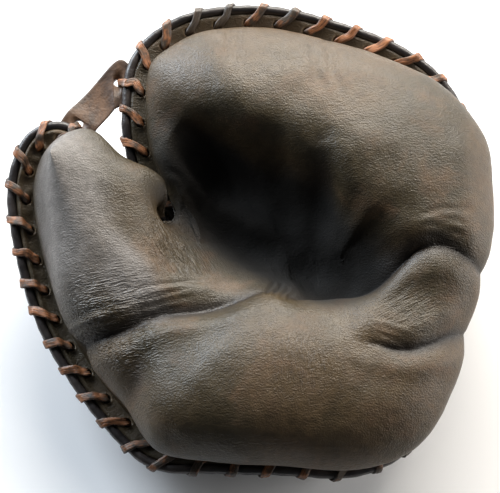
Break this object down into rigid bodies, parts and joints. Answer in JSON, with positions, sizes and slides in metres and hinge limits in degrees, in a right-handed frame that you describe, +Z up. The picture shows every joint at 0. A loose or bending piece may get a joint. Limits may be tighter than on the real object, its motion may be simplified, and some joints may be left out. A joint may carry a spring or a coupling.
{
  "type": "first baseman mitt",
  "caption": "Padded leather first baseman mitt, palm up, with a laced edge, a deep pocket and a web strap between the thumb and the finger part.",
  "frame": {"origin": "middle of the footprint, on the surface that the mitt lies on", "axes": "+Z up out of the palm, +Y from the wrist to the finger tips, -X to the thumb"},
  "size_m": [0.2734, 0.2734, 0.0921],
  "materials": {
    "palm_leather": "worn dark brown leather, satin",
    "back_leather": "dark brown leather, matt",
    "welt_leather": "nearly black rolled leather, satin",
    "strap_leather": "copper brown leather, satin",
    "lace_leather": "orange brown rawhide, worn"
  },
  "bodies": {
    "root": {"palm_pad": "palm_leather", "back_panel": "back_leather", "edge_welt": "welt_leather", "web_strap": "strap_leather", "lace_fingers": "lace_leather", "lace_heel": "lace_leather", "lace_thumb": "lace_leather"}
  },
  "joints": []
}
